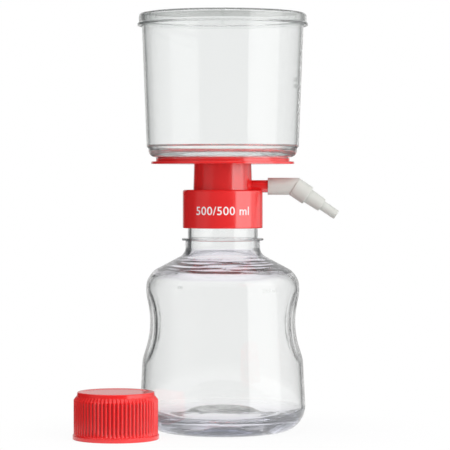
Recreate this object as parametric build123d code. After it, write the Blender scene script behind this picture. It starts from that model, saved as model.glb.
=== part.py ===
"""Vacuum filtration unit: clear funnel on a red threaded head, over a receiver bottle.

Frame: origin at the centre of the bottle's foot, +Z up, +X towards the hose connector.
Lengths are in millimetres and angles in degrees.
"""
from build123d import *
from math import cos, radians, sin, tan
import os

# ---- clearances --------------------------------------------------------------------
seat_gap = 0.05          # between flat faces that bear on each other
running_gap = 0.08       # radial play of the connector on its port
fit_gap = 0.3            # radial play where one piece locates round another
loose_gap = 0.6          # radial play of the lid round the funnel
standing_gap = 0.6       # between the bottle's side and the cap that stands by it

# ---- bottle ------------------------------------------------------------------------
bottle_wall = 1.9
foot_corner_radius = 51.86   # side wall carried down to the ground
body_top_radius = 46.75      # side wall where it meets the shoulder
shoulder_height = 97.15
shoulder_angle = 27.8        # below level
shoulder_round = 12.0
heel_round = 16.0
foot_inner_radius = 33.0
base_rise = 12.6             # push-up of the base
base_crown_radius = 13.0     # flat middle of the push-up
base_thickness = 2.3         # at that middle
base_top_radius = 17.0       # level top of the base, inside
moat_height = 9.3            # of the lowest part of the inside, all round
moat_radius = 30.0           # where it begins
moat_round = 7.0             # and how it runs into wall and middle
base_top_round = 10.0
root_radius = 23.0           # neck below the bead
root_round = 6.0
root_length = 8.228          # from the shoulder's slope up to the bead
bead_radius = 25.2
bead_thickness = 1.2
neck_radius = 21.6
neck_wall = 2.0
bottle_neck_length = 27.6    # from the bead's underside to the rim
rim_round = 0.5
grip_height = 67.8
grip_floor_radius = 44.8     # what the scoops leave at mid height
grip_round = 54.0
grip_half_angle = 15.0

# ---- 45 mm thread, shared by neck, collar and cap ------------------------------------
thread_pitch = 4.0
thread_turns = 1.5
thread_depth = 1.0
thread_play = 0.4            # radial, between a ridge's tip and the wall that it faces
thread_below_rim = 12.0      # first turn of the neck's ridge
ridge_foot = 2.0
ridge_tip = 1.0
ridge_sink = 0.5             # how far a ridge is rooted in its wall

# ---- filter base (head) --------------------------------------------------------------
collar_radius = 24.7
collar_skirt = 20.0          # reach of the collar below the rim
collar_top_round = 1.3
collar_foot_round = 0.5
web_thickness = 2.1          # collar's roof, over the seal
seal_thickness = 1.4
spigot_foot_radius = 18.25
spigot_top_radius = 17.7
spigot_wall = 2.1
spigot_length = 15.9         # from the collar's top to the flange
carrier_radius = 39.6        # upstand that carries the membrane
flange_rim = 4.5             # of the flange beyond the carrier
flange_thickness = 1.5
carrier_wall = 1.6
carrier_rise = 4.5           # above the flange
carrier_ledge = 1.7          # ring at its foot, on which the funnel stands
drain_floor = 1.0            # floor of the drain dish at its centre, above the flange
drain_slope = 1.4            # rise of that floor towards the upstand
drain_bore_radius = 4.0
drip_tube_radius = 5.5
drip_tube_below_rim = 5.5
rib_width = 0.9
long_ribs = 12
drip_clearance = 1.0         # between the long ribs and the drip tube's mouth
middle_rib_inset = 26.0      # start of the middle ribs, in from the carrier's edge
short_rib_inset = 15.0
port_above_rim = 5.7
port_radius = 3.8
port_bore_radius = 2.3
port_reach = 41.0            # end of the port, from the bottle's axis
plug_length = 8.0
plug_setback = 3.0           # from the port's end

# ---- membrane stack ------------------------------------------------------------------
support_thickness = 0.25
membrane_thickness = 0.15

# ---- funnel --------------------------------------------------------------------------
funnel_height = 89.9         # from flange to rim
funnel_foot_width = 7.0      # from the carrier to the outside, just above the step
funnel_flare = 3.1           # widening from step to rim
funnel_wall = 1.6
step_height = 7.9            # of the step above the flange
step_depth = 1.15
funnel_skirt_wall = 1.3      # of the skirt round the carrier, down to its ledge
funnel_skirt_height = 2.6
funnel_foot_land = 0.35      # level part of the floor's underside, beside the skirt
inner_foot_round = 3.0
membrane_grip = 1.6          # of the funnel's lip over the membrane's edge
throat_lip = 0.8
funnel_floor_rise = 0.3      # of the floor between throat and wall

# ---- lid -----------------------------------------------------------------------------
lid_thickness = 1.2
lid_wall = 1.1
lid_skirt = 7.6
lid_flare = 0.8
lid_flare_height = 1.3
lid_round = 2.0
lug_count = 6
lug_depth = 0.35
lug_width = 1.6

# ---- hose connector --------------------------------------------------------------------
socket_radius = 5.25
socket_start = 27.8          # distances along +X from the bottle's axis
elbow_reach = 44.0
elbow_angle = 34.0           # below level
socket_floor_gap = 0.4
middle_radius = 6.05
middle_length = 10.3
neck_start_radius = 4.65
neck_end_radius = 4.25
neck_length = 10.5
tip_radius = 3.0
tip_length = 10.8
hose_bore_radius = 1.7
hose_edge_round = 0.5

# ---- cap -------------------------------------------------------------------------------
cap_direction = 214.4        # from +X, seen from above
cap_height = 28.4
cap_band_radius = 25.95
cap_band_height = 3.0
cap_grip_radius = 25.3
cap_grip_depth = 0.55
cap_grip_top = 24.1
cap_neck_radius = 23.4
cap_neck_height = 26.1
cap_top_radius = 23.1
cap_top_round = 0.8
cap_roof = 2.0
cap_dish = 0.35
cap_dish_radius = 20.8
cap_ribs = 64
cap_rib_width = 1.3
liner_thickness = 1.5

# ---- places that follow from the sizes above -------------------------------------------
root_height = shoulder_height + (body_top_radius - root_radius) * tan(radians(shoulder_angle))
bead_height = root_height + root_length
rim_height = bead_height + bottle_neck_length
bore_radius = neck_radius - neck_wall
cavity_radius = neck_radius + thread_depth + thread_play   # inside of collar and cap
web_under = rim_height + seal_thickness + 2 * seat_gap
collar_top = web_under + web_thickness
collar_foot = rim_height - collar_skirt
flange_under = collar_top + spigot_length
flange_top = flange_under + flange_thickness
flange_radius = carrier_radius + flange_rim
carrier_top = flange_top + carrier_rise
ledge_top = flange_top + carrier_ledge
membrane_foot = carrier_top + support_thickness
membrane_top = membrane_foot + membrane_thickness
funnel_foot = ledge_top + seat_gap
funnel_seat_radius = carrier_radius + fit_gap
funnel_skirt_radius = funnel_seat_radius + funnel_skirt_wall
funnel_low_radius = funnel_seat_radius + funnel_foot_width
funnel_rim_radius = funnel_low_radius + funnel_flare
throat_radius = carrier_radius - membrane_grip
funnel_rim = flange_top + funnel_height
lid_under = funnel_rim + seat_gap
lid_top = lid_under + lid_thickness
port_height = rim_height + port_above_rim
thread_height = rim_height - thread_below_rim
body_lean = (foot_corner_radius - body_top_radius) / shoulder_height
body_widest_radius = foot_corner_radius - heel_round * body_lean
cap_place = Rot(0, 0, cap_direction) * Pos(body_widest_radius + standing_gap + cap_band_radius, 0, 0)


# ---- shared forms ----------------------------------------------------------------------
def disc(radius, bottom, top):
    """Plain disc or rod about Z between two heights."""
    return Pos(0, 0, bottom) * extrude(Circle(radius), top - bottom)


def ring(outer, inner, bottom, top):
    """Plain tube about Z between two heights."""
    return disc(outer, bottom, top) - disc(inner, bottom, top)


def turned(*corners):
    """Form turned about Z, from corners given as radius, height and rounding."""
    outline = FilletPolyline(
        *[corner[:2] for corner in corners], radius=[corner[2] for corner in corners], close=True
    )
    return revolve(Plane.XZ * make_face(outline), Axis.Z)


def thread_ridge(wall_radius, direction, height):
    """Right-hand ridge on a wall: direction is 1 outwards or -1 inwards."""
    helix = Helix(thread_pitch, thread_pitch * thread_turns, wall_radius)
    sunk = -direction * ridge_sink
    tip = direction * thread_depth
    flare = (ridge_foot - ridge_tip) / thread_depth * ridge_sink
    outline = Polyline(
        (sunk, -(ridge_foot + flare) / 2),
        (tip, -ridge_tip / 2),
        (tip, ridge_tip / 2),
        (sunk, (ridge_foot + flare) / 2),
        close=True,
    )
    across = Plane(origin=helix @ 0, x_dir=(1, 0, 0), z_dir=helix % 0)
    return Pos(0, 0, height) * sweep(across * make_face(outline), path=helix, is_frenet=True)


# ---- bottle ----------------------------------------------------------------------------
def shoulder_line(radius, skin):
    """Height of the shoulder's slope at a radius, moved in by skin."""
    slope = radians(shoulder_angle)
    return shoulder_height + (body_top_radius - radius) * tan(slope) - skin / cos(slope)


def bottle_outside():
    """The bottle as a solid up to its bead, with a push-up of flat crown and rounded flank."""
    crown = Line((0, base_rise), (base_crown_radius, base_rise))
    flank = TangentArc(crown @ 1, (foot_inner_radius, 0), tangent=(1, 0))
    side = FilletPolyline(
        (foot_inner_radius, 0),
        (foot_corner_radius, 0),
        (body_top_radius, shoulder_height),
        (root_radius, root_height),
        (root_radius, bead_height),
        (0, bead_height),
        radius=[heel_round, shoulder_round, root_round, 0],
    )
    axis_line = Line((0, bead_height), (0, base_rise))
    return revolve(Plane.XZ * make_face(crown + flank + side + axis_line), Axis.Z)


def bottle_inside():
    """What the bottle holds: even walls over a thick base whose middle stands up."""
    shoulder_radius = body_top_radius - bottle_wall
    base_top = base_rise + base_thickness
    return turned(
        (0, base_top, 0),
        (base_top_radius, base_top, base_top_round),
        (moat_radius, moat_height, moat_round),
        (foot_corner_radius - moat_height * body_lean - bottle_wall, moat_height, moat_round),
        (shoulder_radius, shoulder_line(shoulder_radius, bottle_wall), shoulder_round - bottle_wall),
        (bore_radius, shoulder_line(bore_radius, bottle_wall), root_round + bottle_wall),
        (bore_radius, rim_height + rim_round, 0),
        (0, rim_height + rim_round, 0),
    )


def without_grips(form, skin):
    """The form less the two finger scoops, whose surface moves in by skin."""
    bend = grip_floor_radius + grip_round
    section = Plane.XZ * Pos(bend, grip_height) * Circle(grip_round + skin)
    sweep_part = Rot(0, 0, -grip_half_angle) * revolve(section, Axis.Z, 2 * grip_half_angle)
    ball = Pos(bend, 0, grip_height) * Sphere(grip_round + skin)
    for side in (0, 180):
        form = form - Rot(0, 0, side) * sweep_part
        for end in (-grip_half_angle, grip_half_angle):
            form = form - Rot(0, 0, side + end) * ball
    return form


def make_bottle():
    """Blown bottle with a moulded neck."""
    outside = without_grips(bottle_outside(), 0)
    outside += disc(bead_radius, bead_height, bead_height + bead_thickness)
    outside += disc(neck_radius, bead_height, rim_height)
    inside = without_grips(bottle_inside(), bottle_wall)
    bottle = outside - inside
    rim = bottle.edges().filter_by_position(Axis.Z, rim_height - 0.01, rim_height + 0.01)
    bottle = fillet(rim, rim_round)
    return bottle + thread_ridge(neck_radius, 1, thread_height)


# ---- head ------------------------------------------------------------------------------
def drain_ribs():
    """Radial ribs that carry the fleece, with open lanes to the drain."""
    spans = (
        (drip_tube_radius + drip_clearance, long_ribs, 0),
        (carrier_radius - middle_rib_inset, long_ribs, 0.5),
        (carrier_radius - short_rib_inset, 2 * long_ribs, 0.5),
    )
    ribs = []
    for start, count, offset in spans:
        length = carrier_radius - carrier_wall / 2 - start
        rib = Pos(start + length / 2, 0, flange_top) * Box(
            length, rib_width, carrier_rise, align=(Align.CENTER, Align.CENTER, Align.MIN)
        )
        ribs += [Rot(0, 0, (i + offset) * 360 / count) * rib for i in range(count)]
    return ribs


def make_filter_base():
    """One moulding: flange, membrane carrier, spigot, vacuum port, collar and drip tube."""
    collar = turned(
        (cavity_radius, collar_foot, 0),
        (collar_radius, collar_foot, collar_foot_round),
        (collar_radius, collar_top, collar_top_round),
        (spigot_foot_radius - spigot_wall, collar_top, 0),
        (spigot_foot_radius - spigot_wall, web_under, 0),
        (cavity_radius, web_under, 0),
    )
    spigot = turned(
        (spigot_foot_radius - spigot_wall, web_under, 0),
        (spigot_foot_radius, web_under, 0),
        (spigot_top_radius, flange_under, 0),
        (spigot_foot_radius - spigot_wall, flange_under, 0),
    )
    dish_edge = carrier_radius - carrier_wall
    carrier = turned(
        (0, flange_under, 0),
        (flange_radius, flange_under, 0),
        (flange_radius, flange_top, 0.3),
        (funnel_skirt_radius, flange_top, 0),
        (funnel_skirt_radius, ledge_top, 0.2),
        (carrier_radius, ledge_top, 0),
        (carrier_radius, carrier_top, 0),
        (dish_edge, carrier_top, 0),
        (dish_edge, flange_top + drain_floor + drain_slope, 0),
        (0, flange_top + drain_floor, 0),
    )
    port = Plane.YZ * Pos(0, port_height) * Circle(port_radius)
    port = Pos(spigot_foot_radius - spigot_wall / 2, 0, 0) * extrude(
        port, port_reach - spigot_foot_radius + spigot_wall / 2
    )
    port_bore = Plane.YZ * Pos(0, port_height) * Circle(port_bore_radius)
    port_bore = Pos(drip_tube_radius + 2, 0, 0) * extrude(port_bore, port_reach)
    drip_foot = rim_height - drip_tube_below_rim
    base = carrier + drain_ribs() + [spigot, collar, port]
    base += disc(drip_tube_radius, drip_foot, flange_under + flange_thickness / 2)
    base -= disc(drain_bore_radius, drip_foot - 1, carrier_top + 1)
    base -= port_bore
    return base + thread_ridge(cavity_radius, -1, thread_height - thread_pitch / 2)


def make_neck_seal():
    """Flat ring between the collar's roof and the bottle's rim."""
    return ring(
        cavity_radius - fit_gap, spigot_foot_radius - spigot_wall + 1,
        rim_height + seat_gap, web_under - seat_gap,
    )


def make_port_plug():
    """Plug of packed fibre in the vacuum port."""
    section = Plane.YZ * Pos(0, port_height) * Circle(port_bore_radius - seat_gap)
    return Pos(port_reach - plug_setback - plug_length, 0, 0) * extrude(section, plug_length)


def make_membrane_support():
    """Fleece that spreads the filtrate over the ribs."""
    return disc(carrier_radius, carrier_top, membrane_foot)


def make_membrane():
    """Filter membrane, clamped at its edge under the funnel's lip."""
    return disc(carrier_radius, membrane_foot, membrane_top)


# ---- funnel and lid --------------------------------------------------------------------
def make_funnel():
    """Tapered clear cup with a stepped, rounded foot and an open throat."""
    step = flange_top + step_height
    step_top = step + step_depth
    lip_under = membrane_top + seat_gap
    lip_top = lip_under + throat_lip
    floor_under = flange_top + funnel_skirt_height
    foot_radius = funnel_low_radius - step_depth
    outside = turned(
        (0, funnel_foot, 0),
        (funnel_skirt_radius, funnel_foot, 0),
        (funnel_skirt_radius, floor_under, 0),
        (foot_radius, floor_under, foot_radius - funnel_skirt_radius - funnel_foot_land),
        (foot_radius, step, 0),
        (funnel_low_radius, step_top, 0.3),
        (funnel_rim_radius, funnel_rim, 0.5),
        (0, funnel_rim, 0),
    )
    inside = turned(
        (0, lip_top, 0),
        (throat_radius, lip_top, 0),
        (foot_radius - funnel_wall, lip_top + funnel_floor_rise, inner_foot_round),
        (foot_radius - funnel_wall, step_top, 0),
        (funnel_low_radius - funnel_wall, step_top + step_depth, 0),
        (funnel_rim_radius - funnel_wall, funnel_rim, 0),
        (0, funnel_rim, 0),
    )
    throat = disc(throat_radius, lip_under, lip_top)
    seat = disc(funnel_seat_radius, funnel_foot, lip_under)
    return outside - inside - throat - seat


def make_lid():
    """Press-on cover with a flared skirt and small lugs that keep it vented."""
    outside = funnel_rim_radius + loose_gap + lid_wall
    inside = funnel_rim_radius + loose_gap
    foot = lid_top - lid_skirt
    flare = foot + lid_flare_height
    lid = turned(
        (0, lid_under, 0),
        (inside, lid_under, 0.4),
        (inside, flare, 0.4),
        (inside + lid_flare, foot, 0.2),
        (outside + lid_flare, foot, 0.2),
        (outside + lid_flare, flare, 0.2),
        (outside, flare + lid_flare, 0.4),
        (outside, lid_top, lid_round),
        (0, lid_top, 0),
    )
    lug = Pos(inside - lug_depth / 2 + 0.2, 0, lid_under) * Box(
        lug_depth + 0.4, lug_width, lid_skirt / 2, align=(Align.CENTER, Align.CENTER, Align.MAX)
    )
    return lid + [Rot(0, 0, (i + 0.5) * 360 / lug_count) * lug for i in range(lug_count)]


# ---- hose connector ----------------------------------------------------------------------
def make_hose_connector():
    """Stepped elbow: a socket on the port, then three sections down to the hose tip."""
    elbow = Vector(elbow_reach, 0, port_height)
    down = Vector(cos(radians(elbow_angle)), 0, -sin(radians(elbow_angle)))
    slanted = Plane(origin=elbow, x_dir=(0, 1, 0), z_dir=down)
    level = Plane(origin=(0, 0, port_height), x_dir=(0, 1, 0), z_dir=(1, 0, 0))
    low = (Align.CENTER, Align.CENTER, Align.MIN)

    run = elbow_reach + middle_length - socket_start
    socket = level * Pos(0, 0, socket_start) * Cylinder(socket_radius, run, align=low)
    socket = split(socket, bisect_by=slanted, keep=Keep.BOTTOM)
    middle = Cylinder(middle_radius, middle_length, align=low)
    middle = fillet(middle.edges().filter_by(GeomType.CIRCLE), hose_edge_round)
    neck = Pos(0, 0, middle_length) * Cone(neck_start_radius, neck_end_radius, neck_length, align=low)
    neck = fillet(neck.edges().filter_by(GeomType.CIRCLE).sort_by(Axis.Z)[-1], hose_edge_round)
    tip = Pos(0, 0, middle_length + neck_length) * Cylinder(tip_radius, tip_length, align=low)
    tip = fillet(tip.edges().filter_by(GeomType.CIRCLE).sort_by(Axis.Z)[-1], hose_edge_round)
    outside = socket + slanted * (middle + neck + tip)

    port_room = port_reach + socket_floor_gap - socket_start
    port_room = level * Pos(0, 0, socket_start) * Cylinder(port_radius + running_gap, port_room, align=low)
    slanted_bore = slanted * Cylinder(
        hose_bore_radius, middle_length + neck_length + tip_length, align=low
    )
    level_bore = level * Pos(0, 0, port_reach) * Cylinder(
        hose_bore_radius, elbow_reach - port_reach, align=low
    )
    turn = Pos(elbow) * Sphere(hose_bore_radius)
    return outside - port_room - slanted_bore - level_bore - turn


# ---- cap ---------------------------------------------------------------------------------
def make_cap():
    """Ribbed screw cap, standing on its open end beside the bottle."""
    roof_under = cap_height - cap_roof
    core = cap_grip_radius - cap_grip_depth
    shell = turned(
        (0, 0, 0),
        (core, 0, 0),
        (core, cap_grip_top + cap_grip_depth, 0.3),
        (cap_neck_radius, cap_neck_height, 0.3),
        (cap_top_radius, cap_height, cap_top_round),
        (cap_dish_radius, cap_height, 0),
        (cap_dish_radius - 2, cap_height - cap_dish, 0),
        (0, cap_height - cap_dish, 0),
    )
    band = turned(
        (0, 0, 0),
        (cap_band_radius, 0, 0.3),
        (cap_band_radius, cap_band_height - 0.5, 0.4),
        (core, cap_band_height, 0),
        (0, cap_band_height, 0),
    )
    envelope = turned(
        (0, 1, 0),
        (cap_grip_radius, 1, 0),
        (cap_grip_radius, cap_grip_top, 0.5),
        (cap_neck_radius, cap_neck_height, 0),
        (0, cap_neck_height, 0),
    )
    rib = Pos(core - 0.2, 0, 1) * Box(
        2.0, cap_rib_width, cap_neck_height, align=(Align.MIN, Align.CENTER, Align.MIN)
    )
    ribs = [Rot(0, 0, i * 360 / cap_ribs) * (rib & envelope) for i in range(cap_ribs)]
    cap = shell + band + ribs - disc(cavity_radius, -1, roof_under)
    first_turn = roof_under - liner_thickness - thread_below_rim - thread_pitch / 2
    return cap_place * (cap + thread_ridge(cavity_radius, -1, first_turn))


def make_cap_liner():
    """Sealing disc under the cap's roof."""
    roof_under = cap_height - cap_roof
    return cap_place * disc(cavity_radius - fit_gap, roof_under - liner_thickness, roof_under)


# ---- write one file for each piece -------------------------------------------------------
pieces = {
    "bottle": make_bottle,
    "filter_base": make_filter_base,
    "neck_seal": make_neck_seal,
    "port_filter_plug": make_port_plug,
    "membrane_support": make_membrane_support,
    "membrane": make_membrane,
    "funnel": make_funnel,
    "lid": make_lid,
    "hose_connector": make_hose_connector,
    "cap": make_cap,
    "cap_liner": make_cap_liner,
}

os.makedirs("parts", exist_ok=True)
for name, make in pieces.items():
    export_step(make(), f"parts/{name}.step")
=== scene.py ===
import math

import bmesh
import bpy
from mathutils import Matrix, Vector, noise


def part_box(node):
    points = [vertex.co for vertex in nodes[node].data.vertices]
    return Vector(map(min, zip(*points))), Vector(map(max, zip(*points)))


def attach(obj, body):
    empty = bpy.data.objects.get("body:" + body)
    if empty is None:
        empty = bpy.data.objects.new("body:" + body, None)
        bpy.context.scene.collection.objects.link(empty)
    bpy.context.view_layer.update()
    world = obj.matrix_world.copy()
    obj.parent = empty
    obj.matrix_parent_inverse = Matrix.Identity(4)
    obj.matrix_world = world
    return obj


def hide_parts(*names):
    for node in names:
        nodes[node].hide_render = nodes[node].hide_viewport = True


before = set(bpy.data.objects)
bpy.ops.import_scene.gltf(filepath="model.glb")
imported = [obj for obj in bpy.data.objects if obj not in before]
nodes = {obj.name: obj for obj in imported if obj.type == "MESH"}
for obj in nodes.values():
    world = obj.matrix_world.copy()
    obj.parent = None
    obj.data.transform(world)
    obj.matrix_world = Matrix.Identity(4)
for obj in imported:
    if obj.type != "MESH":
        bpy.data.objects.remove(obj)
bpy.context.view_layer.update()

# Clear vacuum filtration unit on a white bench.  Meshes are in metres, sizes below in millimetres.
MM = 0.001

# ---- sizes of the blown bottle ---------------------------------------------------------
bottle_wall = 1.9
foot_corner_radius = 51.86
body_top_radius = 46.75
shoulder_height = 97.15
shoulder_angle = 27.8        # below level, outside
inner_shoulder_angle = 22.0  # flatter inside, as the wall thickens towards the neck
inner_shoulder_drop = 1.15   # of the inside's bend below the outside's
inner_root_round = 9.0
shoulder_round = 12.0
heel_round = 16.0
foot_inner_radius = 33.0
foot_edge_round = 0.5
base_rise = 12.6             # push-up of the base
base_crown_radius = 13.0
bevel_ease = 0.995           # keeps the push-up's bevel a little short of the foot
base_thickness = 2.3
base_top_radius = 17.0       # level top of the base, inside
base_top_round = 10.0
moat_height = 9.3            # lowest part of the inside, all round
moat_radius = 30.0
moat_round = 7.0
root_radius = 23.0
root_round = 6.0
bead_radius = 25.2
bead_thickness = 1.2
bead_foot_round = 0.3
bead_edge_round = 0.4
neck_radius = 21.6
neck_length = 27.6           # from the bead's underside to the rim
rim_round = 0.5
bore_radius = 19.6
grip_height = 67.8
grip_floor_radius = 44.8
grip_round = 54.0
grip_half_angle = 15.0
grip_edge_softness = 1.6     # over which a scoop runs into the body
bottle_steps = 144           # faces round the wall
bottle_face = 1.3            # and the longest of them along it

ring_spacing = 2.1           # of the flow rings inside the thick wall
ring_waver = 1.3             # how fast they change round the axis
lump_spacing = 7.0
lump_waver = 3.0
shoulder_rings = 0.50        # how far rings and lumps stand out of true
shoulder_lumps = 0.40
base_rings = 0.35
base_lumps = 0.8
uneven_height = 102.0        # middle of the uneven shoulder
uneven_reach = 10.0          # up and down from there
uneven_base_reach = 20.0     # up from the ground
true_radius = 5.0            # nearer the axis than this the wall is true
true_above_shoulder = 14.0   # and this far above the shoulder, too
moat_margin = 2.0            # how far unevenness may hang below the moat

rim_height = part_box("bottle")[1].z / MM
bead_height = rim_height - neck_length
body_lean = (foot_corner_radius - body_top_radius) / shoulder_height

# ---- sizes of the funnel and its lid ---------------------------------------------------
turned_steps = 192           # faces round funnel and lid
funnel_seat_radius = 39.9
funnel_skirt_radius = 41.2
funnel_low_radius = 46.9
funnel_wall = 1.6
step_depth = 1.15
step_above_foot = 6.15
floor_above_foot = 0.85
lip_above_foot = 3.2
throat_radius = 38.0
throat_lip = 0.8
floor_rise = 0.3
funnel_foot_round = 4.2
funnel_floor_round = 2.9

funnel_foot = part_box("funnel")[0].z / MM
funnel_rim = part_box("funnel")[1].z / MM
funnel_rim_radius = 50.0

lid_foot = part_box("lid")[0].z / MM
lid_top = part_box("lid")[1].z / MM
lid_radius = 51.7
lid_wall = 1.1
lid_thickness = 1.2
lid_flare = 0.8
lid_flare_height = 1.3
lid_round = 2.0
lug_count = 6
lug_depth = 0.3
lug_width = 1.6
lug_length = 3.6
lug_sink = 0.2               # of the lug's middle, out from the skirt's inside
lug_drop = 2.0               # and down from the lid's underside

# ---- sizes of the cap ------------------------------------------------------------------
cap_band_radius = 25.94
cap_band_height = 2.5
cap_grip_radius = 25.3
cap_grip_foot = 3.0
cap_grip_top = 23.6
cap_neck_radius = 23.4
cap_neck_height = 26.1
cap_top_radius = 23.1
cap_height = 28.4
cap_bore_radius = 23.0
cap_grip_skin = 23.6         # further in than this nothing is ribbed
cap_roof_under = 26.4
cap_dish_radius = 20.8
cap_dish = 0.35
cap_dish_slope = 2.0
cap_face = 4.0
cap_ribs = 64
steps_per_rib = 8
rib_depth = 1.05
rib_share = 0.40             # of the swing between two gaps that a rib's crown takes
rib_side = 0.5               # of the swing that its side takes
rib_start = 0.2              # below the grip's foot, where the gaps begin
rib_end = 2.2                # below the neck, where they run out
gap_shade_end = 1.5          # below the grip's top, where their shade fades

# ---- sizes of the lettering ------------------------------------------------------------
collar_radius = 24.7
print_lift = 0.03
mark_lift = 0.2
funnel_lean = 0.038          # widening of the wall under a mark, per height
bottle_lean = -0.0525
letter_spacing = 1.08
letter_weight = 0.008        # how much strokes are widened, as a share of the height

# ---- the room as reflections show it: radiance, where 1 is white -----------------------
room_brightest = 1.5
room_right = 1.5
room_right_edge = 0.7        # what the right lamp still gives past its edge
room_left = 0.14
room_front = 0.06
room_behind = 0.65
room_above = 1.0
room_inside = 0.36           # least that reflections inside the clear plastic show

# ---- camera ----------------------------------------------------------------------------
camera_lens = 184.7
camera_place = (0.0014, -1.425, 0.155)
camera_dip = 1.113           # degrees below level


# ---- shader arithmetic -----------------------------------------------------------------
class Port:
    """A socket of a node tree that can be written in sums and products."""

    def __init__(self, finish, socket):
        self.finish = finish
        self.socket = socket

    def work_out(self, operation, first, second=0.0):
        return self.finish.add("Math", {"operation": operation}, (first, second))["Value"]

    def __add__(self, other):
        return self.work_out("ADD", self, other)

    def __radd__(self, other):
        return self.work_out("ADD", other, self)

    def __sub__(self, other):
        return self.work_out("SUBTRACT", self, other)

    def __rsub__(self, other):
        return self.work_out("SUBTRACT", other, self)

    def __mul__(self, other):
        return self.work_out("MULTIPLY", self, other)

    def __rmul__(self, other):
        return self.work_out("MULTIPLY", other, self)

    def __truediv__(self, other):
        return self.work_out("DIVIDE", self, other)

    def angle(self, other):
        """Degrees from the direction of other towards this one."""
        return self.work_out("ARCTAN2", self, other) * (180.0 / math.pi)

    def most(self, other):
        return self.work_out("MAXIMUM", self, other)

    def least(self, other):
        return self.work_out("MINIMUM", self, other)

    def root(self):
        return self.work_out("SQRT", self)

    def rise(self, low, high):
        """0 below low, 1 above high, smooth between."""
        values = {"Value": self, "From Min": low, "From Max": high}
        node = self.finish.add("MapRange", {"interpolation_type": "SMOOTHSTEP"}, values)
        return node["Result"]


class Ports:
    """The outputs of a node, by name."""

    def __init__(self, finish, node):
        self.finish = finish
        self.node = node

    def __getitem__(self, name):
        return Port(self.finish, self.node.outputs[name])


class Finish:
    """A material or world, with one method that adds any node."""

    def __init__(self, owner, output):
        owner.use_nodes = True
        self.owner = owner
        self.tree = owner.node_tree
        self.tree.nodes.clear()
        self.output = self.tree.nodes.new(output)

    def add(self, kind, settings=None, values=()):
        node = self.tree.nodes.new("ShaderNode" + kind)
        for name, setting in (settings or {}).items():
            setattr(node, name, setting)
        pairs = values.items() if isinstance(values, dict) else enumerate(values)
        for name, value in pairs:
            self.fill(node.inputs[name], value)
        return Ports(self, node)

    def fill(self, socket, value):
        if isinstance(value, Port):
            self.tree.links.new(value.socket, socket)
        elif isinstance(value, tuple) and len(value) == 3 and socket.type == "RGBA":
            socket.default_value = (*value, 1.0)
        else:
            socket.default_value = value

    def place(self, kind="Object"):
        """Position on the object, or direction in the world."""
        return self.add("TexCoord")[kind]

    def split(self, vector):
        return self.add("SeparateXYZ", None, (vector,))

    def noise(self, scale, detail=3.0):
        values = {"Vector": self.place(), "Scale": scale, "Detail": detail}
        return self.add("TexNoise", None, values)["Fac"]

    def blend(self, amount, first, second):
        node = self.add("Mix", {"data_type": "RGBA"}, {0: amount})
        self.fill(node.node.inputs[6], first)
        self.fill(node.node.inputs[7], second)
        return Port(self, node.node.outputs[2])

    def bump(self, height, distance):
        return self.add("Bump", None, {"Height": height, "Distance": distance, "Strength": 1.0})["Normal"]

    def mix(self, amount, first, second):
        return self.add("MixShader", None, (amount, first, second))["Shader"]

    def show(self, shader, socket="Surface"):
        self.tree.links.new(shader.socket, self.output.inputs[socket])


def new_finish(name):
    return Finish(bpy.data.materials.new(name), "ShaderNodeOutputMaterial")


# ---- materials -------------------------------------------------------------------------
def clear_plastic(name, ripple, ripple_scale, straight, tint, painted_sheen_tint, depth_colour, depth_density):
    """Clear polystyrene: bends light, darkens with depth and lets lamps through.

    A share of the light, straight, leaves the plastic without being bent.  The painted sheen tint colours
    the thick base and shoulder, by height above the bench: a painted sheen standing in for the violet
    reflections seen there.
    """
    finish = new_finish(name)
    wave = finish.noise(ripple_scale)
    height = finish.split(finish.place())["Z"]
    # Painted sheen: the thick base and shoulder get a violet tint that stands in for reflections, not a
    # colour of the plastic.
    by_shoulder = height.rise(0.096, 0.100) * (1.0 - height.rise(0.105, 0.114))
    thick = (1.0 - height.rise(0.002, 0.018)).most(by_shoulder)
    glass = finish.add(
        "BsdfPrincipled", None,
        {"Base Color": finish.blend(thick, tint, painted_sheen_tint),
         "Roughness": 0.005 + 0.015 * finish.noise(60.0), "IOR": 1.57,
         "Transmission Weight": 1.0, "Normal": finish.bump(wave, ripple)},
    )["BSDF"]
    rays = finish.add("LightPath")
    leaving = finish.add("NewGeometry")["Backfacing"] * straight
    passing = rays["Is Shadow Ray"].most(rays["Is Diffuse Ray"]).most(leaving)
    open_way = finish.add("BsdfTransparent", None, {"Color": (0.95, 0.965, 0.96)})["BSDF"]
    finish.show(finish.mix(passing, glass, open_way))
    depth = finish.add("VolumeAbsorption", None, {"Color": depth_colour, "Density": depth_density})
    finish.show(depth["Volume"], "Volume")
    return finish.owner


def red_plastic():
    """Glossy red moulding with faint flow marks."""
    finish = new_finish("red_moulding")
    flow = finish.noise(35.0, 4.0)
    colour = finish.blend(flow, (0.77, 0.014, 0.015), (0.83, 0.021, 0.021))
    shader = finish.add(
        "BsdfPrincipled", None,
        {"Base Color": colour, "Roughness": 0.11 + 0.05 * finish.noise(220.0), "IOR": 2.2,
         "Normal": finish.bump(finish.noise(900.0, 2.0), 0.00002)},
    )["BSDF"]
    finish.show(shader)
    return finish.owner


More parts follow.
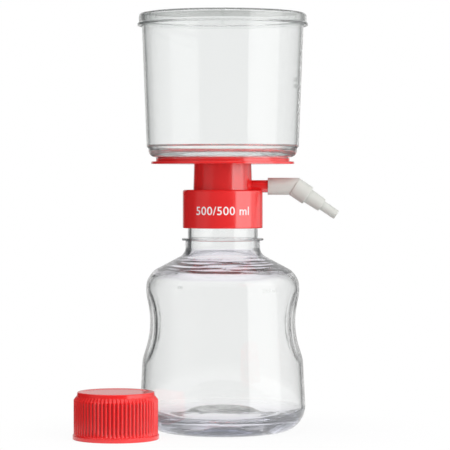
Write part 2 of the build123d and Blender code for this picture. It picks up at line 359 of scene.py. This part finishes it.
def ribbed_red_plastic_painted_gap_shade(centre):
    """The cap's red moulding, with painted shade down in the gaps between the ribs: darker there, and
    duller.
    """
    finish = new_finish("red_ribbed_moulding_painted_gap_shade")
    place = finish.split(finish.place())
    right = place["X"] - centre.x
    back = place["Y"] - centre.y
    across = (right * right + back * back).root()
    # Painted shade: these masks find the gaps between the ribs, where the red is darkened as if shade
    # fell there.
    floor = (cap_grip_radius - rib_depth) * MM
    down = 1.0 - across.rise(floor, floor + 0.8 * MM)
    outside = across.rise(floor - 0.4 * MM, floor - 0.2 * MM)
    below_top = 1.0 - place["Z"].rise((cap_grip_top - gap_shade_end) * MM, cap_grip_top * MM)
    above_foot = place["Z"].rise(cap_grip_foot * MM, (cap_grip_foot + 0.8) * MM)
    gap = outside * down * below_top * above_foot
    red = finish.blend(finish.noise(35.0, 4.0), (0.80, 0.014, 0.015), (0.86, 0.021, 0.021))
    # The dark red blended in over the gaps is painted shade.
    shader = finish.add(
        "BsdfPrincipled", None,
        {"Base Color": finish.blend(gap, red, (0.44, 0.004, 0.006)),
         "Roughness": 0.12 + 0.05 * finish.noise(220.0) + 0.2 * gap, "IOR": 1.8,
         "Normal": finish.bump(finish.noise(900.0, 2.0), 0.00002)},
    )["BSDF"]
    finish.show(shader)
    return finish.owner


def natural_plastic():
    """Unpigmented polypropylene, milky."""
    finish = new_finish("natural_moulding")
    cloud = finish.noise(60.0, 3.0)
    colour = finish.blend(cloud, (0.53, 0.535, 0.50), (0.58, 0.585, 0.55))
    shader = finish.add(
        "BsdfPrincipled", None,
        {"Base Color": colour, "Roughness": 0.34 + 0.1 * finish.noise(300.0),
         "Normal": finish.bump(finish.noise(700.0, 2.0), 0.00002)},
    )["BSDF"]
    finish.show(shader)
    return finish.owner


def white_sheet(name, grain, low, high, depth):
    """White filter material with a fine grain."""
    finish = new_finish(name)
    fibre = finish.noise(grain, 6.0)
    colour = finish.blend(fibre, low, high)
    shader = finish.add(
        "BsdfPrincipled", None,
        {"Base Color": colour, "Roughness": 0.7 + 0.2 * fibre, "Normal": finish.bump(fibre, depth)},
    )["BSDF"]
    finish.show(shader)
    return finish.owner


def dress(node, material):
    """Give a CAD node its finish."""
    nodes[node].data.materials.clear()
    nodes[node].data.materials.append(material)


# ---- lathe work ------------------------------------------------------------------------
def turned_wall(bm, corners, steps, longest=30.0):
    """Spin a closed section about Z.  A corner is a radius, a height and a rounding."""
    rough = [bm.verts.new((radius * MM, 0, height * MM)) for radius, height, rounding in corners]
    bm.faces.new(rough)

    bends = []
    for index, vert in enumerate(rough):
        before = rough[index - 1].co - vert.co
        after = rough[(index + 1) % len(rough)].co - vert.co
        bends.append(math.pi - before.angle(after))
    for vert, bend, (_, _, rounding) in zip(rough, bends, corners):
        if rounding:
            bmesh.ops.bevel(
                bm, geom=[vert], offset=rounding * MM * math.tan(bend / 2), offset_type="OFFSET",
                affect="VERTICES", segments=max(3, round(math.degrees(bend) / 5)), profile=0.5,
                material=-1,
            )

    bmesh.ops.delete(bm, geom=bm.faces[:], context="FACES_ONLY")
    on_axis = [edge for edge in bm.edges if all(abs(vert.co.x) < 1e-7 for vert in edge.verts)]
    bmesh.ops.delete(bm, geom=on_axis, context="EDGES")
    for _ in range(4):
        long_edges = [edge for edge in bm.edges if edge.calc_length() > longest * MM]
        bmesh.ops.subdivide_edges(bm, edges=long_edges, cuts=2)
    bmesh.ops.spin(
        bm, geom=bm.verts[:] + bm.edges[:], cent=(0, 0, 0), axis=(0, 0, 1), dvec=(0, 0, 0),
        angle=2 * math.pi, steps=steps, use_merge=True,
    )
    bmesh.ops.remove_doubles(bm, verts=bm.verts, dist=1e-6)
    bmesh.ops.recalc_face_normals(bm, faces=bm.faces)


def new_piece(name, bm, material, body, smooth_below=35):
    """Turn a bmesh into a piece that rides on a body."""
    mesh = bpy.data.meshes.new(name)
    bm.to_mesh(mesh)
    bm.free()
    mesh.materials.append(material)
    mesh.shade_smooth()
    mesh.set_sharp_from_angle(angle=math.radians(smooth_below))
    piece = bpy.data.objects.new(name, mesh)
    bpy.context.scene.collection.objects.link(piece)
    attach(piece, body)
    return piece


# ---- bottle ----------------------------------------------------------------------------
def shoulder_line(radius):
    """Height of the outer shoulder's slope at a radius."""
    return shoulder_height + (body_top_radius - radius) * math.tan(math.radians(shoulder_angle))


def push_up_round():
    """Radius of the arc that runs from the push-up's flat crown down to the foot."""
    run = foot_inner_radius - base_crown_radius
    return (run ** 2 + base_rise ** 2) / (2 * base_rise)


def push_up_corner():
    """Radius at which the flat crown and the end of that arc would meet."""
    turn = math.asin((foot_inner_radius - base_crown_radius) / push_up_round())
    return base_crown_radius + push_up_round() * math.tan(turn / 2)


def bottle_section():
    """Corners of the wall: outside from the push-up to the rim, then down the inside."""
    inner_top = body_top_radius - bottle_wall
    inner_shoulder = shoulder_height - inner_shoulder_drop
    inner_slope = math.tan(math.radians(inner_shoulder_angle))
    inner_root = inner_shoulder + (inner_top - bore_radius) * inner_slope
    inner_corner = foot_corner_radius - moat_height * body_lean - bottle_wall
    return (
        (0, base_rise, 0),
        (push_up_corner(), base_rise, push_up_round() * bevel_ease),
        (foot_inner_radius, 0, foot_edge_round),
        (foot_corner_radius, 0, heel_round),
        (body_top_radius, shoulder_height, shoulder_round),
        (root_radius, shoulder_line(root_radius), root_round),
        (root_radius, bead_height, bead_foot_round),
        (bead_radius, bead_height, bead_edge_round),
        (bead_radius, bead_height + bead_thickness, bead_edge_round),
        (neck_radius, bead_height + bead_thickness, bead_foot_round),
        (neck_radius, rim_height, rim_round),
        (bore_radius, rim_height, rim_round),
        (bore_radius, inner_root, inner_root_round),
        (inner_top, inner_shoulder, shoulder_round - bottle_wall),
        (inner_corner, moat_height, moat_round),
        (moat_radius, moat_height, moat_round),
        (base_top_radius, base_rise + base_thickness, base_top_round),
        (0, base_rise + base_thickness, 0),
    )


def scooped(radius, azimuth, height, skin):
    """Radius of the wall where a finger scoop runs softly into it."""
    bend = grip_floor_radius + grip_round
    beside = abs((azimuth + math.pi / 2) % math.pi - math.pi / 2) - math.radians(grip_half_angle)
    beside = max(beside, 0.0)
    reach = (grip_round + skin) ** 2 - (height - grip_height) ** 2 - (bend * math.sin(beside)) ** 2
    if reach <= 0:
        return radius
    floor = bend * math.cos(beside) - math.sqrt(reach)
    overlap = max(grip_edge_softness - abs(radius - floor), 0) / grip_edge_softness
    return min(radius, floor) - overlap ** 2 * grip_edge_softness / 4


def outer_radius(height):
    """Radius of the bottle's outside, from the foot to the start of the root."""
    if height > shoulder_height:
        return body_top_radius - (height - shoulder_height) / math.tan(math.radians(shoulder_angle))
    wall = body_top_radius + (shoulder_height - height) * body_lean
    if height > heel_round:
        return wall
    return wall - heel_round + math.sqrt(heel_round ** 2 - (heel_round - height) ** 2)


def underside(across):
    """Height of the pushed-up base's underside at a distance from the axis."""
    sweep = push_up_round() * bevel_ease
    beyond = min(max(across - base_crown_radius, 0.0), sweep)
    return base_rise - sweep + math.sqrt(sweep ** 2 - beyond ** 2)


def unevenness(across, height, azimuth):
    """How far the inside is out of true in the shoulder and the base, where the wall is thick."""
    around = Vector((math.cos(azimuth), math.sin(azimuth), 0))
    rings = noise.noise(around * ring_waver + Vector((0, 0, across / ring_spacing)))
    lumps = noise.noise(around * lump_waver + Vector((0, 0, across / lump_spacing)))
    near_shoulder = max(0, 1 - abs(height - uneven_height) / uneven_reach)
    near_base = max(0, 1 - height / uneven_base_reach)
    shoulder = near_shoulder * (shoulder_rings * rings + shoulder_lumps * lumps)
    return shoulder + near_base * (base_rings * rings + base_lumps * lumps)


def make_bottle(material):
    """Blown bottle: soft finger scoops, a thick root and base, and an uneven inside."""
    bm = bmesh.new()
    turned_wall(bm, bottle_section(), bottle_steps, bottle_face)
    for vert in bm.verts:
        across = math.hypot(vert.co.x, vert.co.y) / MM
        height = vert.co.z / MM
        if across < true_radius or height > shoulder_height + true_above_shoulder:
            continue
        above_base = height > max(underside(across) + base_thickness / 3, moat_height - moat_margin)
        inside = above_base and across < outer_radius(height) - bottle_wall / 2
        azimuth = math.atan2(vert.co.y, vert.co.x)
        radius = scooped(across, azimuth, height, bottle_wall if inside else 0)
        if inside:
            vert.co.z += MM * unevenness(across, height, azimuth)
        vert.co.x *= radius / across
        vert.co.y *= radius / across
    piece = new_piece("blown_bottle", bm, material, "receiver")
    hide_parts("bottle")


# ---- funnel and lid --------------------------------------------------------------------
def make_funnel(material):
    """Tapered cup with a stepped, rounded foot and an open throat."""
    foot_radius = funnel_low_radius - step_depth
    step = funnel_foot + step_above_foot
    step_top = step + step_depth
    lip_under = funnel_foot + lip_above_foot
    lip_top = lip_under + throat_lip
    bm = bmesh.new()
    turned_wall(bm, (
        (funnel_seat_radius, funnel_foot, 0),
        (funnel_skirt_radius, funnel_foot, 0.2),
        (funnel_skirt_radius, funnel_foot + floor_above_foot, 0),
        (foot_radius, funnel_foot + floor_above_foot, funnel_foot_round),
        (foot_radius, step, 0.3),
        (funnel_low_radius, step_top, 0.4),
        (funnel_rim_radius, funnel_rim, 0.5),
        (funnel_rim_radius - funnel_wall, funnel_rim, 0.4),
        (funnel_low_radius - funnel_wall, step_top + step_depth, 0.5),
        (foot_radius - funnel_wall, step_top, 0.3),
        (foot_radius - funnel_wall, lip_top + floor_rise, funnel_floor_round),
        (throat_radius, lip_top, 0.2),
        (throat_radius, lip_under, 0.2),
        (funnel_seat_radius, lip_under, 0),
    ), turned_steps)
    piece = new_piece("clear_funnel", bm, material, "filter_head")
    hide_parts("funnel")


def make_lid(material):
    """Press-on cover with a flared skirt, and lugs inside that keep it vented."""
    inside = lid_radius - lid_wall
    lid_under = lid_top - lid_thickness
    flare = lid_foot + lid_flare_height
    bm = bmesh.new()
    turned_wall(bm, (
        (0, lid_under, 0),
        (inside, lid_under, 0.5),
        (inside, flare, 0.4),
        (inside + lid_flare, lid_foot, 0.2),
        (lid_radius + lid_flare, lid_foot, 0.3),
        (lid_radius + lid_flare, flare, 0.3),
        (lid_radius, flare + lid_flare, 0.5),
        (lid_radius, lid_top, lid_round),
        (0, lid_top, 0),
    ), turned_steps)
    for index in range(lug_count):
        turn = Matrix.Rotation(math.radians((index + 0.5) * 360 / lug_count), 4, "Z")
        place = Matrix.Translation(Vector((inside - lug_sink, 0, lid_under - lug_drop)) * MM)
        shape = Matrix.Diagonal((lug_depth * MM, lug_width * MM, lug_length * MM, 1.0))
        bmesh.ops.create_cube(bm, size=1.0, matrix=turn @ place @ shape)
    piece = new_piece("clear_lid", bm, material, "lid_body")
    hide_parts("lid")


# ---- cap -------------------------------------------------------------------------------
def make_cap():
    """Screw cap standing on its open end, with rounded grip ribs."""
    low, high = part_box("cap")
    centre = (low + high) / 2
    material = ribbed_red_plastic_painted_gap_shade(centre)
    bm = bmesh.new()
    turned_wall(bm, (
        (cap_bore_radius, 0, 0.2),
        (cap_band_radius, 0, 0.3),
        (cap_band_radius, cap_band_height, 0.4),
        (cap_grip_radius, cap_grip_foot, 0.2),
        (cap_grip_radius, cap_grip_top, 0.8),
        (cap_neck_radius, cap_neck_height, 0.3),
        (cap_top_radius, cap_height, 0.8),
        (cap_dish_radius, cap_height, 0.3),
        (cap_dish_radius - cap_dish_slope, cap_height - cap_dish, 0.3),
        (0, cap_height - cap_dish, 0),
        (0, cap_roof_under, 0),
        (cap_bore_radius, cap_roof_under, 0.5),
    ), steps_per_rib * cap_ribs, cap_face)
    for vert in bm.verts:
        across = math.hypot(vert.co.x, vert.co.y) / MM
        if across < cap_grip_skin:
            continue
        height = vert.co.z / MM
        on_grip = min(height - cap_grip_foot + rib_start, (cap_neck_height - height) / rib_end, 1.0)
        swing = (1 - math.cos(cap_ribs * math.atan2(vert.co.y, vert.co.x))) / 2
        gap = min(max((swing - rib_share) / rib_side, 0.0), 1.0)
        radius = across - rib_depth * gap * max(on_grip, 0.0)
        vert.co.x *= radius / across
        vert.co.y *= radius / across
    bmesh.ops.translate(bm, verts=bm.verts, vec=(centre.x, centre.y, 0))
    piece = new_piece("ribbed_cap", bm, material, "receiver", 80)
    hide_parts("cap")


# ---- lettering -------------------------------------------------------------------------
def wrapped_text(name, words, height, middle, radius, azimuth, lift, material, body, lean=0.0):
    """Raised lettering round a wall that widens by lean upwards.

    The middle is a height on the wall, and the azimuth is from the front, towards +X.
    """
    curve = bpy.data.curves.new(name, "FONT")
    curve.body = words
    curve.size = height * MM
    curve.align_x = "CENTER"
    curve.align_y = "CENTER"
    curve.space_character = letter_spacing
    curve.offset = letter_weight * height * MM
    flat = bpy.data.objects.new(name + "_flat", curve)
    sheet = bpy.data.meshes.new_from_object(flat)
    bpy.data.objects.remove(flat)
    bm = bmesh.new()
    bm.from_mesh(sheet)
    bmesh.ops.remove_doubles(bm, verts=bm.verts, dist=1e-7)
    front = bm.faces[:]
    raised = bmesh.ops.extrude_face_region(bm, geom=front)["geom"]
    for vert in [item for item in raised if isinstance(item, bmesh.types.BMVert)]:
        vert.co.z = lift * MM
    bmesh.ops.recalc_face_normals(bm, faces=bm.faces)
    turn = math.radians(azimuth)
    for vert in bm.verts:
        out = radius * MM + vert.co.z + lean * vert.co.y
        swing = turn + vert.co.x / (radius * MM)
        vert.co = Vector((out * math.sin(swing), -out * math.cos(swing), middle * MM + vert.co.y))
    new_piece(name, bm, material, body, 30)


def print_ink():
    """White printing, a little uneven in cover."""
    finish = new_finish("white_ink")
    cover = finish.noise(1500.0, 2.0)
    colour = finish.blend(cover, (0.80, 0.75, 0.75), (0.88, 0.86, 0.86))
    values = {"Base Color": colour, "Roughness": 0.45 + 0.1 * cover}
    finish.show(finish.add("BsdfPrincipled", None, values)["BSDF"])
    return finish.owner


# ---- bench, light and camera -----------------------------------------------------------
def make_floor():
    """White bench that keeps the object's shadow and clears away from what is mirrored."""
    mesh = bpy.data.meshes.new("bench")
    bm = bmesh.new()
    bmesh.ops.create_grid(bm, x_segments=1, y_segments=1, size=6.0)
    bm.to_mesh(mesh)
    bm.free()
    floor = bpy.data.objects.new("bench", mesh)
    bpy.context.scene.collection.objects.link(floor)
    finish = new_finish("white_bench")
    rays = finish.add("LightPath")
    seen = rays["Is Camera Ray"].most(rays["Is Glossy Ray"]).most(rays["Is Transmission Ray"])
    mirrored = rays["Is Glossy Ray"].most(rays["Is Transmission Ray"] * rays["Glossy Depth"].least(1.0))
    axes = finish.split(finish.place())
    away = (axes["X"] * axes["X"] + axes["Y"] * axes["Y"]).root()
    lit = finish.add("BsdfDiffuse", None, {"Color": (0.95, 0.95, 0.95)})["BSDF"]
    white = finish.add("Emission", None, {"Color": (1.0, 1.0, 1.0), "Strength": 1.0})["Emission"]
    near = finish.mix(seen * (0.88 + 0.12 * away.rise(0.04, 0.16)), lit, white)
    open_way = finish.add("BsdfTransparent", None, {"Color": (1.0, 1.0, 1.0)})["BSDF"]
    finish.show(finish.mix(mirrored * away.rise(0.08, 0.20), near, open_way))
    mesh.materials.append(finish.owner)


def background(finish, colour, strength):
    return finish.add("Background", None, {"Color": colour, "Strength": strength})["Background"]


def make_world():
    """White backdrop for what is seen directly or through plastic, a studio room for reflections."""
    world = bpy.data.worlds.new("studio")
    bpy.context.scene.world = world
    finish = Finish(world, "ShaderNodeOutputWorld")
    rays = finish.add("LightPath")
    reflected = rays["Glossy Depth"].least(1.0)
    direct = rays["Is Camera Ray"].most(rays["Is Transmission Ray"] * (1.0 - reflected))
    mirrored = rays["Is Glossy Ray"].most(rays["Is Transmission Ray"] * reflected)

    way = finish.split(finish.place("Generated"))
    azimuth = way["X"].angle(way["Y"] * -1.0)
    aside = azimuth.most(azimuth * -1.0)
    low = way["Z"].rise(-0.16, -0.08) * (1.0 - way["Z"].rise(0.55, 0.80))
    right = azimuth.rise(35.0, 40.0) * (1.0 - azimuth.rise(86.0, 96.0)) * low
    right_edge = azimuth.rise(60.0, 90.0) * (1.0 - azimuth.rise(125.0, 155.0)) * low
    left = (1.0 - azimuth.rise(-44.0, -30.0)) * azimuth.rise(-90.0, -76.0) * low
    front = 1.0 - aside.rise(70.0, 100.0)
    behind = aside.rise(145.0, 160.0) * low
    above = way["Z"].rise(0.70, 0.90)
    level = (right * room_right).most(left * room_left).most(front * room_front)
    level = level.most(right_edge * room_right_edge)
    level = level.most(behind * room_behind).most(above * room_above)
    steep = way["Z"].most(way["Z"] * -1.0).rise(0.15, 0.40)
    level = level.most(rays["Is Transmission Ray"] * steep.most(front) * room_inside)

    white = background(finish, (1.0, 1.0, 1.0), 1.0)
    dark = background(finish, (0.95, 0.97, 1.0), 0.02)
    lamp = background(finish, (1.0, 0.995, 0.985), room_brightest)
    fill = background(finish, (0.98, 0.98, 1.0), 0.45)
    room = finish.mix(level / room_brightest, dark, lamp)
    finish.show(finish.mix(direct, finish.mix(mirrored, fill, room), white))


def make_softbox(name, azimuth, distance, width, height, centre_height, radiance):
    """Rectangular lamp that faces the object; reflections show the room's own lamps instead."""
    lamp = bpy.data.lights.new(name, "AREA")
    lamp.shape = "RECTANGLE"
    lamp.size = width
    lamp.size_y = height
    lamp.energy = radiance * math.pi * width * height
    holder = bpy.data.objects.new(name, lamp)
    bpy.context.scene.collection.objects.link(holder)
    turn = math.radians(azimuth)
    place = Vector((math.sin(turn) * distance, -math.cos(turn) * distance, centre_height))
    aim = Vector((0, 0, min(centre_height, 0.2))) - place
    holder.matrix_world = Matrix.Translation(place) @ aim.to_track_quat("-Z", "Y").to_matrix().to_4x4()
    holder.visible_camera = False
    holder.visible_transmission = False
    holder.visible_glossy = False


def make_camera():
    """Long lens at the height of the collar, tipped a little down."""
    camera = bpy.data.cameras.new("camera")
    camera.sensor_width = 36.0
    camera.lens = camera_lens
    camera.clip_end = 50.0
    holder = bpy.data.objects.new("camera", camera)
    bpy.context.scene.collection.objects.link(holder)
    holder.location = camera_place
    holder.rotation_euler = (math.radians(90 - camera_dip), 0, 0)
    bpy.context.scene.camera = holder


# ---- the scene -------------------------------------------------------------------------
bpy.context.scene.view_settings.view_transform = "Standard"
make_floor()
make_world()
for name, azimuth, distance, width, height, centre_height, radiance in (
    ("softbox_right", 62, 1.0, 1.05, 1.1, 0.35, 0.95),
    ("softbox_left", -55, 1.0, 0.83, 1.1, 0.35, 0.5),
    ("key_fill", 40, 1.2, 0.8, 1.0, 0.5, 3.0),
    ("overhead", 20, 0.35, 0.9, 0.9, 1.3, 1.9),
):
    make_softbox(name, azimuth, distance, width, height, centre_height, radiance)
make_camera()

blown = clear_plastic(
    "blown_plastic", ripple=0.0002, ripple_scale=20.0, straight=0.08,
    # the violet tint below is painted sheen on the thick base and shoulder
    tint=(0.990, 0.995, 0.987), painted_sheen_tint=(0.955, 0.930, 0.975),
    depth_colour=(0.42, 0.47, 0.66), depth_density=13.0,
)
moulded = clear_plastic(
    "moulded_plastic", ripple=0.00001, ripple_scale=25.0, straight=0.18,
    tint=(0.996, 0.998, 0.994), painted_sheen_tint=(0.996, 0.998, 0.994),
    depth_colour=(0.45, 0.60, 0.65), depth_density=18.0,
)
dress("filter_base", red_plastic())
dress("hose_connector", natural_plastic())
dress("membrane", white_sheet("membrane", 900.0, (0.86, 0.86, 0.85), (0.92, 0.92, 0.91), 0.00003))
fleece = white_sheet("fleece", 400.0, (0.72, 0.72, 0.70), (0.86, 0.86, 0.84), 0.0001)
dress("membrane_support", fleece)
dress("port_filter_plug", fleece)
dress("neck_seal", white_sheet("silicone", 120.0, (0.70, 0.70, 0.68), (0.76, 0.76, 0.74), 0.00001))
dress("cap_liner", white_sheet("foam_liner", 500.0, (0.80, 0.80, 0.78), (0.88, 0.88, 0.86), 0.00005))

make_bottle(blown)
make_funnel(moulded)
make_lid(moulded)
make_cap()
wrapped_text(
    "funnel_mark", "500\n-400", height=4.0, middle=214.0, radius=48.45, azimuth=66, lift=mark_lift,
    material=moulded, body="filter_head", lean=funnel_lean,
)
wrapped_text(
    "bottle_mark_left", "- 400 -", height=2.6, middle=90.4, radius=47.2, azimuth=-33, lift=mark_lift,
    material=blown, body="receiver", lean=bottle_lean,
)
wrapped_text(
    "bottle_mark_right", "500 ml", height=3.4, middle=88.4, radius=47.3, azimuth=37, lift=mark_lift,
    material=blown, body="receiver", lean=bottle_lean,
)
wrapped_text(
    "capacity", "500/500 ml", height=7.2, middle=136.0, radius=collar_radius, azimuth=0, lift=print_lift,
    material=print_ink(), body="filter_head",
)
